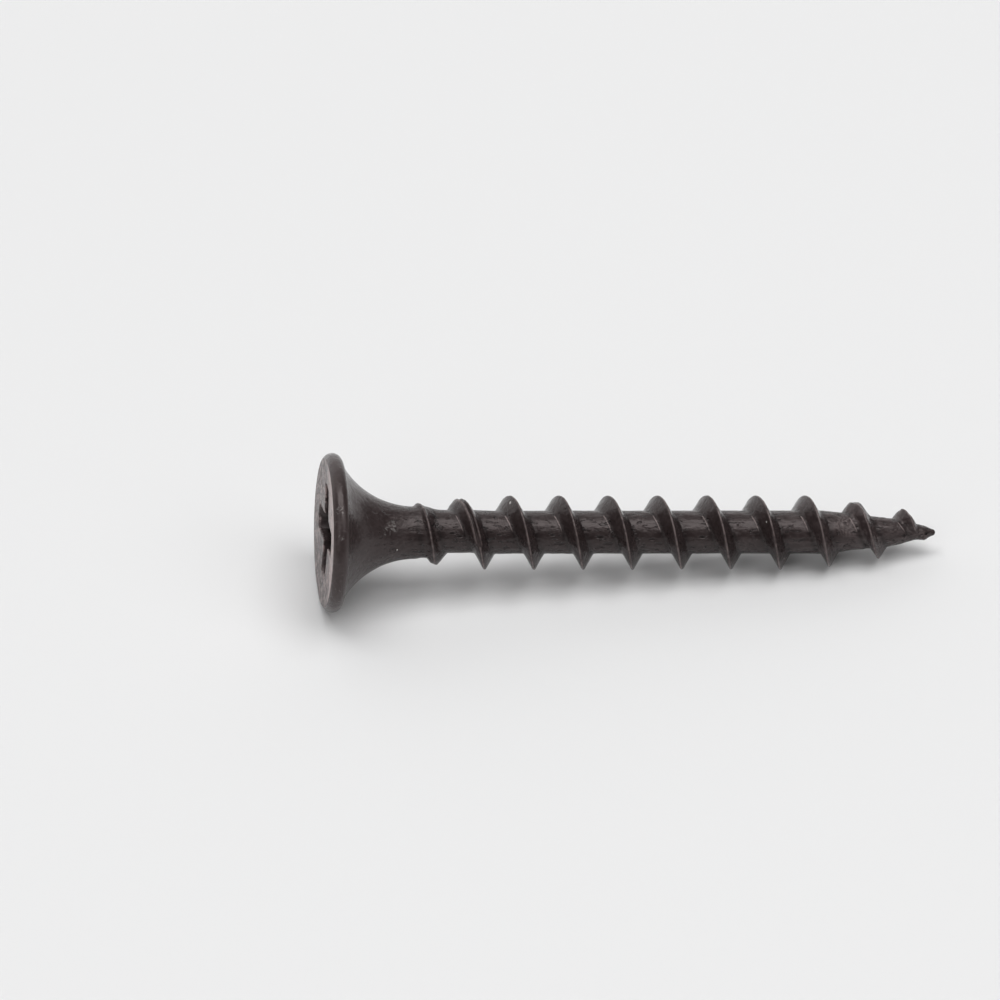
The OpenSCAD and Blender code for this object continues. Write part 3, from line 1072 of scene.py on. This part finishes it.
class FinishMarks:
    """Where the marks of the finish lie on the screw, most of them from nought to one."""

    def __init__(self, w, rest):
        self.w = w
        # Millimetres in the frame of the upright screw
        self.place = w.wire(
            "ShaderNodeMapping",
            {
                "Vector": w.wire("ShaderNodeTexCoord", output="Object"),
                "Location": rest.to_translation(),
                "Rotation": rest.to_euler(),
                "Scale": (MM, MM, MM),
            },
            vector_type="TEXTURE",
        )
        self.sides = w.parts(self.place)
        self.along = self.sides["Z"]
        self.rolled = attribute(w, "roll_place", "Vector")
        self.phase = attribute(w, "roll_phase")
        self.sunk = attribute(w, "sunk")
        self.in_valley = w.calc("SUBTRACT", 1.0, attribute(w, "thread_height"), clamp=True)
        self.on_shank = w.ramp(self.along, 1.5, 4.0)
        self.near_point = w.ramp(self.along, 23.0, 28.0)
        self.find_coating()
        self.find_rolling_marks()
        self.find_fold_highlights()
        self.find_face()

        # Rubbed edges, with the painted highlights of the crests and of the rim crease, are
        # broken up, and dust lies in small specks
        broken = w.ramp(grain(w, self.place, 4.0, 4.0, 0.6), 0.36, 0.6, 0.15, 1.0)
        self.bare_and_highlit = attribute(w, "rubbed_and_highlit") * broken
        self.dust = spots(w, self.place, DUST)

    def find_coating(self):
        """Clouds and fine mottling, streaks that rolling drew out, pits, and thin coating, whose
        lighter streaks near the point are a painted highlight.
        """
        w, place, along = self.w, self.place, self.along
        self.clouds = w.ramp(grain(w, place, 0.9, 2.0), 0.35, 0.7)
        self.mottle = w.ramp(grain(w, place, 5.0, 4.0, 0.6), 0.42, 0.72)
        self.streaks = grain(w, stretched(w, place, 3.4, 1.1), 1.0, 4.0, 0.6)
        self.patches = w.ramp(grain(w, self.rolled, 1.3, 3.0, 0.55, self.phase), 0.46, 0.62)

        pits = w.ramp(grain(w, stretched(w, place, 4.2, 1.7), 1.3, 2.0, 0.5), 0.60, 0.68)
        pits = pits * (self.in_valley * self.on_shank)
        squeezed = [(x, y, z * DENT_SQUEEZE, radius) for x, y, z, radius in DENTS]
        dents = spots(w, stretched(w, place, 1.0, DENT_SQUEEZE), squeezed)
        dents = dents * w.ramp(self.streaks, 0.3, 0.5, 0.5, 1.0)
        self.pits = w.calc("MAXIMUM", pits, dents)

        thin = self.mottle * w.ramp(self.clouds, 0.0, 1.0, 0.3, 0.9)
        thin = thin * w.ramp(along, 4.0, 6.0, 1.0, 0.7)
        # Lighter streaks of thin coating, made stronger near the point as a painted highlight
        light = w.ramp(self.streaks, 0.46, 0.66) * self.on_shank
        self.thin = (
            thin * w.ramp(along, 0.9, 1.8, 0.65, 0.9)
            + self.patches * 0.15
            + w.ramp(along, 0.9, 3.8, 0.6, 0.0)
            + self.near_point * 0.4
            + light * w.ramp(self.near_point, 0.0, 1.0, 0.4, 1.5)
        )

    def find_rolling_marks(self):
        """Scuffs on the neck and rim, and arcs and chatter of the rollers on the core."""
        w, place = self.w, self.place
        scratched = w.ramp(grain(w, place, 6.0, 3.0, 0.6, distortion=1.0), 0.52, 0.62)
        self.scuffs = spots(w, place, SCUFFS) * scratched
        rings = w.calc("SINE", distance(w, place, RINGS_MIDDLE) * RING_WAVES)
        rings = w.ramp(rings, 0.45, 0.95)
        self.rings = rings * spots(w, place, RINGS) * w.ramp(self.mottle, 0.0, 0.6, 0.25, 1.0)
        chatter = w.calc("SINE", (self.along + self.streaks) * CHATTER_WAVES)
        self.chatter = w.ramp(chatter, -1.0, 1.0) * spots(w, place, CHATTER)

    def find_fold_highlights(self):
        """A painted highlight beside the foot of the flank, on each turn's upper side where the
        top light falls, with the bump of a thin folded edge of metal.
        """
        w, sides = self.w, self.sides
        phase = w.calc("ARCTAN2", self.phase, w.parts(self.rolled)["Z"])
        beside_flank = abs(phase - FOLD_HIGHLIGHT_PHASE)
        off_upper = abs(w.calc("ARCTAN2", sides["Y"], sides["X"]) - FOLD_HIGHLIGHT_TURN)
        upper = w.ramp(off_upper, 0.25, 0.6, 1.0, 0.0)
        fold_highlights = w.ramp(beside_flank, 0.04, 0.11, 1.0, 0.0)
        fold_highlights = fold_highlights * (upper * w.ramp(self.along, 5.2, 6.0))
        self.fold_highlights = fold_highlights * w.ramp(self.mottle, 0.0, 0.5, 0.45, 1.0)

    def find_face(self):
        """The face of the head, how tools scraped it, and its near side, painted lighter as wear
        and as a highlight.
        """
        w, place, x, y = self.w, self.place, self.sides["X"], self.sides["Y"]
        from_axis = w.calc("SQRT", x * x + y * y)
        on_face = w.ramp(self.along, 0.14, 0.22, 1.0, 0.0)
        on_face = on_face * w.ramp(from_axis, 3.79, 3.85, 1.0, 0.0)
        scraped = w.ramp(grain(w, place, 1.2, 5.0, 0.6), 0.40, 0.60)
        # The near side of the face is painted lighter, as wear and as a highlight
        across = x * WORN_AND_HIGHLIT_TOWARDS[0] + y * WORN_AND_HIGHLIT_TOWARDS[1]
        worn_and_highlit_side = on_face * w.ramp(across, 1.0, 2.2)
        flecks = w.ramp(grain(w, place, 2.6, 4.0, 0.6), 0.50, 0.60, 0.0, 0.6)
        self.on_face = on_face
        self.scraped = on_face * scraped
        self.scrapes_and_sheen = worn_and_highlit_side * w.ramp(scraped, 0.0, 1.0, 0.5, 0.9) + on_face * flecks


def finish_colour(w, marks, look):
    """Dark coating, blended with each of the marks in turn: wear, scrapes and dust, painted
    highlights on the crests, the rim crease, the folds, the near side of the face and the streaks
    near the point, and painted shade in the roots and the recess.
    """
    # Wear, mixed with the painted highlights of the crests, the rim crease and the folds
    worn = (
        marks.bare_and_highlit * 0.62
        + marks.rings * 0.22
        + marks.fold_highlights
        + marks.chatter * w.ramp(marks.near_point, 0.0, 1.0, 0.08, 0.25)
        + marks.scraped * 0.35
    )
    colour_now = (*look.coat, 1)
    for part, other in (
        (w.calc("MULTIPLY", marks.thin, 0.6, clamp=True), look.thin),
        # Painted shade in the roots and the recess, with the dark of the pits
        (w.calc("ADD", marks.sunk * 0.7, marks.pits * 0.8, clamp=True), look.deep_shade),
        (w.calc("MINIMUM", worn, 1.0), look.bare_and_highlit),
        # Scrapes of the face, with the painted highlight on its near side
        (w.calc("MINIMUM", marks.scrapes_and_sheen, 1.0), look.scraped),
        (w.calc("MAXIMUM", marks.dust, marks.scuffs * 0.2), look.dust),
    ):
        colour_now = blend(w, part, colour_now, (*other, 1))
    return colour_now


def finish_roughness(marks, look):
    """Satin, smoother on rubbed edges and rougher on the face and under dust."""
    return (
        look.roughness
        + (marks.mottle - 0.5) * 0.14
        + (marks.clouds - 0.5) * 0.08
        + marks.bare_and_highlit * -0.04
        + marks.dust * 0.4
        + marks.scraped * 0.1
        + marks.on_face * 0.12
    )


def finish_relief(w, marks):
    """Height of the finish: grain all over, drawn streaks on the core, folds up and pits down."""
    place, on_shank = marks.place, marks.on_shank
    drawn = marks.streaks * (w.ramp(marks.in_valley, 0.0, 1.0, 0.45, 1.0) * on_shank)
    return (
        grain(w, place, 22.0, 3.0, 0.6) * 0.09
        + marks.mottle * 0.24
        + grain(w, place, 2.2, 2.0) * 0.6
        + drawn * w.ramp(marks.near_point, 0.0, 1.0, 1.7, 2.0)
        + grain(w, place, 6.0, 3.0) * (marks.in_valley * on_shank) * 0.45
        + marks.patches * 0.12
        + marks.pits * -1.3
        + marks.chatter * 0.35
        + marks.fold_highlights * 0.6
        + marks.rings * 0.25
        + marks.scraped * 1.2
    )


def phosphate_material(look, rest):
    """Dark satin phosphate, marked by the rollers, rubbed at the crests and a little dusty, with
    painted highlights and painted shade in its colour.
    """
    material = bpy.data.materials.new("black_phosphate")
    material.use_nodes = True
    material.node_tree.nodes.clear()
    w = Wiring(material.node_tree)
    marks = FinishMarks(w, rest)
    bump = w.wire(
        "ShaderNodeBump",
        {"Height": finish_relief(w, marks), "Strength": 1.0, "Distance": 0.03 * MM},
    )
    shader = w.wire(
        "ShaderNodeBsdfPrincipled",
        {
            "Base Color": finish_colour(w, marks, look),
            "Roughness": finish_roughness(marks, look),
            "Specular IOR Level": 0.38,
            "Specular Tint": (*look.tint, 1),
            "Normal": bump,
        },
    )
    w.node("ShaderNodeOutputMaterial", {"Surface": shader})
    return material


def softbox(name, bearing, rise, wide, high, brightness):
    """An area lamp that faces the screw, at a bearing from +X and a rise over the floor in
    degrees. Its brightness is its radiance."""
    lamp = bpy.data.lights.new(name, "AREA")
    lamp.shape = "RECTANGLE"
    lamp.size = wide
    lamp.size_y = high
    lamp.energy = math.pi * wide * high * brightness
    holder = bpy.data.objects.new(name, lamp)
    turn = Matrix.Rotation(math.radians(bearing - 270), 4, "Z")
    tilt = Matrix.Rotation(math.radians(90 - rise), 4, "X")
    holder.matrix_world = turn @ tilt @ Matrix.Translation((0, 0, LAMP_DISTANCE))
    return holder


def studio_world(look):
    """Weak light from all round, and a bright wall behind, a little to the left."""
    world = bpy.data.worlds.new("studio")
    world.use_nodes = True
    world.node_tree.nodes.clear()
    w = Wiring(world.node_tree)
    wall = w.wire(
        "ShaderNodeVectorMath",
        {0: w.wire("ShaderNodeTexCoord", output="Generated"), 1: WALL_TOWARDS},
        output="Value",
        operation="DOT_PRODUCT",
    )
    strength = w.ramp(wall, 0.2, 0.8, look.fill, look.back_light, "SMOOTHSTEP")
    back = w.wire("ShaderNodeBackground", {"Color": (1, 1, 1, 1), "Strength": strength})
    w.node("ShaderNodeOutputWorld", {"Surface": back})
    return world


def pale_floor(floor_colour):
    """A wide flat floor, matt and without gloss."""
    bm = bmesh.new()
    bmesh.ops.create_grid(bm, x_segments=1, y_segments=1, size=FLOOR_HALF)
    mesh = bpy.data.meshes.new("floor")
    bm.to_mesh(mesh)
    bm.free()
    material = bpy.data.materials.new("pale_floor")
    material.use_nodes = True
    shader = material.node_tree.nodes["Principled BSDF"]
    shader.inputs["Base Color"].default_value = (*floor_colour, 1)
    shader.inputs["Roughness"].default_value = 0.9
    shader.inputs["Specular IOR Level"].default_value = 0.0
    mesh.materials.append(material)
    return bpy.data.objects.new("floor", mesh)


def aimed_camera(look):
    """The camera, which aims at a point of the floor from the viewing angle of the picture."""
    camera = bpy.data.cameras.new("camera")
    camera.sensor_width = SENSOR_WIDTH
    camera.lens = look.pixels / MM * look.distance * SENSOR_WIDTH / PICTURE_SIDE
    camera.clip_start, camera.clip_end = CAMERA_RANGE
    holder = bpy.data.objects.new("camera", camera)
    aim_point = Matrix.Translation((look.aim_x, look.aim_y, 0))
    turn = Matrix.Rotation(-look.azimuth, 4, "Z")
    tilt = Matrix.Rotation(math.pi / 2 - look.elevation, 4, "X")
    away = Matrix.Translation((0, 0, look.distance))
    holder.matrix_world = aim_point @ (turn @ tilt) @ away
    return holder


class SCREW_OT_stage(bpy.types.Operator):
    """Make the floor, the lamps and the camera"""

    bl_idname = "drywall_screw.stage"
    bl_label = "Make Stage"

    def execute(self, context):
        scene = context.scene
        look = scene.stage_look
        scene.view_settings.view_transform = "Standard"
        floor = pale_floor(look.floor)
        scene.collection.objects.link(floor)

        scene.world = studio_world(look)
        for lamp in (
            ("left_softbox", 228, 40, 1.2, 1.6, look.left_light),
            ("right_softbox", 325, 50, 1.2, 1.4, look.right_light),
            ("top_softbox", 270, 92.5, 2.3, 1.05, look.top_light),
            ("front_softbox", 298, 65, 0.8, 0.6, look.front_light),
        ):
            scene.collection.objects.link(softbox(*lamp))

        camera = aimed_camera(look)
        scene.collection.objects.link(camera)
        scene.camera = camera
        return {"FINISHED"}


class SCREW_PT_panel(bpy.types.Panel):
    """Sizes, finish and stage of the screw"""

    bl_label = "Drywall Screw"
    bl_idname = "SCREW_PT_panel"
    bl_space_type = "VIEW_3D"
    bl_region_type = "UI"
    bl_category = "Drywall Screw"

    def draw(self, context):
        scene = context.scene
        for title, group, operator in (
            ("Screw", scene.screw_sizes, "drywall_screw.screw"),
            ("Finish", scene.finish_look, None),
            ("Stage", scene.stage_look, "drywall_screw.stage"),
        ):
            box = self.layout.box()
            box.label(text=title)
            for name in group.__annotations__:
                box.prop(group, name)
            if operator:
                box.operator(operator)


CLASSES = (ScrewSizes, FinishLook, StageLook, SCREW_OT_screw, SCREW_OT_stage, SCREW_PT_panel)


def register():
    """Registers the classes and hangs their settings on the scene."""
    for cls in CLASSES:
        bpy.utils.register_class(cls)
    bpy.types.Scene.screw_sizes = PointerProperty(type=ScrewSizes)
    bpy.types.Scene.finish_look = PointerProperty(type=FinishLook)
    bpy.types.Scene.stage_look = PointerProperty(type=StageLook)


def unregister():
    """Takes the settings off the scene and the classes out."""
    del bpy.types.Scene.stage_look
    del bpy.types.Scene.finish_look
    del bpy.types.Scene.screw_sizes
    for cls in reversed(CLASSES):
        bpy.utils.unregister_class(cls)


def main():
    """Builds the screw and its stage."""
    register()
    bpy.ops.drywall_screw.screw()
    bpy.ops.drywall_screw.stage()


if __name__ == "__main__":
    main()
